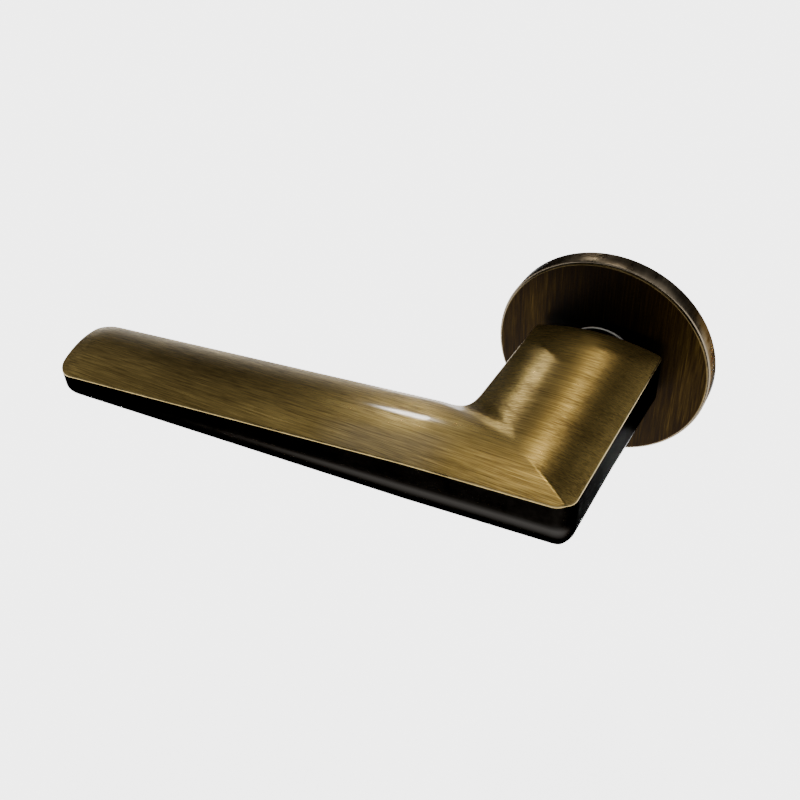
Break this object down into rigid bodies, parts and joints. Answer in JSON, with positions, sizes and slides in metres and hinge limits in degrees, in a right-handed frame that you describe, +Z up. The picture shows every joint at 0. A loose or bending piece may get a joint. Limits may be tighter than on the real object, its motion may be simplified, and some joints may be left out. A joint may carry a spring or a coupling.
{
  "type": "door lever handle",
  "caption": "Sprung L-shaped door lever on a slim round rose, with its square spindle, bolt-through posts and wood screws.",
  "frame": {"origin": "centre of the rose's back, on the spindle axis, in the plane of the door face", "axes": "+Z up, +Y into the door, the grip points to -X and the user stands on the -Y side"},
  "size_m": [0.1406, 0.1005, 0.052],
  "materials": {
    "antique_brass": "brushed antique brass with darkened glossy flanks",
    "antique_bronze": "brushed dark antique bronze",
    "nickel": "bright nickel",
    "bright_steel": "zinc-plated steel",
    "spring_steel": "oiled spring steel",
    "black_steel": "black oxide",
    "yellow_zinc": "yellow passivated zinc",
    "cast_zinc": "grey die-cast zinc",
    "nylon": "natural nylon"
  },
  "bodies": {
    "rose": {"rose_cover": "antique_bronze", "cover_bush": "nylon", "base_plate": "cast_zinc", "bearing_bush": "nylon", "spring_cap": "bright_steel", "cap_screws": "bright_steel", "stop_pins": "bright_steel", "fixing_posts": "bright_steel", "wood_screws": "yellow_zinc", "cover_clips": "spring_steel", "return_spring": "spring_steel"},
    "lever": {"lever_handle": "antique_brass", "spindle": "bright_steel", "grub_screw": "black_steel", "neck_collar": "nickel", "drive_cam": "bright_steel", "cam_washer": "nylon", "thrust_washer": "bright_steel", "disc_spring": "spring_steel", "circlip": "spring_steel"}
  },
  "joints": [
    {"name": "lever_turn", "type": "hinge", "parent": "rose", "child": "lever", "pos_m": [0, 0, 0], "axis": [0, -1, 0], "range_deg": [0, 45], "stiffness_Nm_per_rad": 0.9, "springref_deg": -31.51, "deforming": ["return_spring"]}
  ]
}
